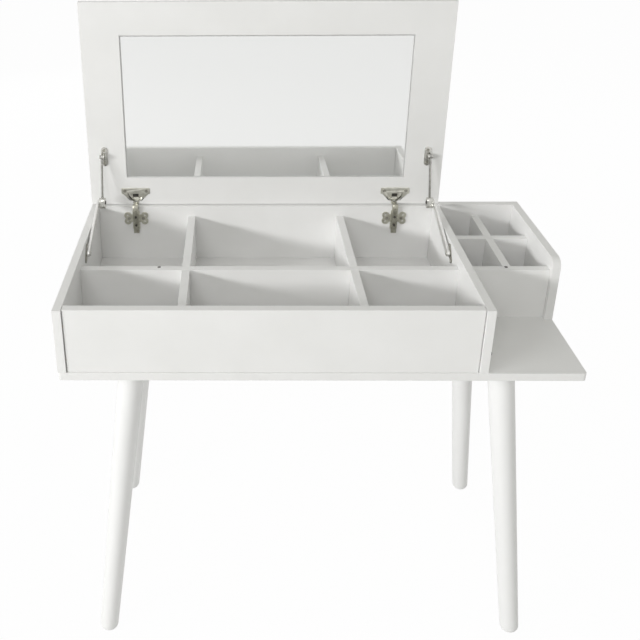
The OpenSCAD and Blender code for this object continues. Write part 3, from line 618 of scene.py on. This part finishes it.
def soft_lamp(name, place, target, wide, high, power):
    """A rectangular lamp at place that faces target."""
    data = bpy.data.lights.new(name, "AREA")
    data.shape = "RECTANGLE"
    data.size, data.size_y = wide, high
    data.energy = power
    lamp = bpy.data.objects.new(name, data)
    bpy.context.scene.collection.objects.link(lamp)
    lamp.location = place
    lamp.rotation_euler = (Vector(target) - Vector(place)).to_track_quat("-Z", "Y").to_euler()


# A wide, shallow window on the left casts the shadows, and the rest fill them softly
soft_lamp("window_lamp", (-5.4, -3.75, 2.23), (0, 0, 0.8), wide=3.0, high=0.5, power=234)
soft_lamp("front_lamp", (-0.8, -3.2, 3.0), (0, 0, 0.8), wide=1.6, high=1.0, power=31)
soft_lamp("rear_lamp", (-1.5, 4.0, 1.7), (0, 0, 0.7), wide=4.2, high=2.6, power=60)
soft_lamp("side_lamp", (3.8, 1.8, 0.95), (0, 0, 0.6), wide=3.0, high=1.6, power=40)


def seen_share(tree, share):
    """A factor that is share to the camera, a little less in gloss and glass, and else 0."""
    paths = tree.nodes.new("ShaderNodeLightPath")
    total = None
    for ray, part in (("Is Camera Ray", 1.0), ("Is Glossy Ray", REFLECTED_WHITE),
                      ("Is Transmission Ray", REFLECTED_WHITE)):
        scaler = tree.nodes.new("ShaderNodeMath")
        scaler.operation = "MULTIPLY"
        scaler.inputs[1].default_value = share * part
        tree.links.new(paths.outputs[ray], scaler.inputs[0])
        if total is None:
            total = scaler.outputs[0]
            continue
        larger = tree.nodes.new("ShaderNodeMath")
        larger.operation = "MAXIMUM"
        tree.links.new(total, larger.inputs[0])
        tree.links.new(scaler.outputs[0], larger.inputs[1])
        total = larger.outputs[0]
    return total


# Air: a dim even light on the table, and plain white to the eye and in reflections
world = bpy.data.worlds.new("studio_air")
bpy.context.scene.world = world
world.use_nodes = True
air = world.node_tree
dim = air.nodes["Background"]
dim.inputs["Color"].default_value = (1, 1, 0.93, 1)
dim.inputs["Strength"].default_value = AIR_LIGHT
white = air.nodes.new("ShaderNodeBackground")
white.inputs["Color"].default_value = (1, 1, 1, 1)
white.inputs["Strength"].default_value = 1.0
blend = air.nodes.new("ShaderNodeMixShader")
air.links.new(seen_share(air, 1.0), blend.inputs[0])
air.links.new(dim.outputs[0], blend.inputs[1])
air.links.new(white.outputs[0], blend.inputs[2])
air.links.new(blend.outputs[0], air.nodes["World Output"].inputs["Surface"])

# Floor: pale paper that is seen as white, with a faint shadow on it
start_piece()
bpy.ops.mesh.primitive_plane_add(size=FLOOR_SIZE, location=(0, 0, 0))
floor = bpy.context.object
floor.name = "floor"
floor_paper, shader = new_material("floor_paper", (0.8, 0.8, 0.8), roughness=0.9)
shader.inputs["Specular IOR Level"].default_value = 0.0
glow = add_node(floor_paper, "ShaderNodeEmission", Strength=1.0)
blend = add_node(floor_paper, "ShaderNodeMixShader")
link(floor_paper, seen_share(floor_paper.node_tree, FLOOR_WHITE), blend.inputs[0])
link(floor_paper, shader.outputs[0], blend.inputs[1])
link(floor_paper, glow.outputs[0], blend.inputs[2])
link(floor_paper, blend.outputs[0],
     floor_paper.node_tree.nodes["Material Output"].inputs["Surface"])
floor.data.materials.append(floor_paper)

bpy.context.scene.view_settings.view_transform = "Standard"

# Camera at the photograph's place
ahead = Vector((math.sin(EYE_TURN) * math.cos(EYE_DOWN),
                math.cos(EYE_TURN) * math.cos(EYE_DOWN), -math.sin(EYE_DOWN)))
level = Vector((math.cos(EYE_TURN), -math.sin(EYE_TURN), 0))
above = level.cross(ahead)
right = math.cos(EYE_ROLL) * level + math.sin(EYE_ROLL) * above
up = -math.sin(EYE_ROLL) * level + math.cos(EYE_ROLL) * above
lens = bpy.data.cameras.new("photo_camera")
lens.sensor_width = SENSOR_MM
lens.lens = FOCAL_PX * SENSOR_MM / FRAME_PX
lens.shift_x = (FRAME_PX / 2 - AXIS_PX[0]) / FRAME_PX
lens.shift_y = (AXIS_PX[1] - FRAME_PX / 2) / FRAME_PX
camera = bpy.data.objects.new("photo_camera", lens)
bpy.context.scene.collection.objects.link(camera)
camera.matrix_world = Matrix((
    (right.x, up.x, -ahead.x, EYE.x),
    (right.y, up.y, -ahead.y, EYE.y),
    (right.z, up.z, -ahead.z, EYE.z),
    (0, 0, 0, 1)))
bpy.context.scene.camera = camera
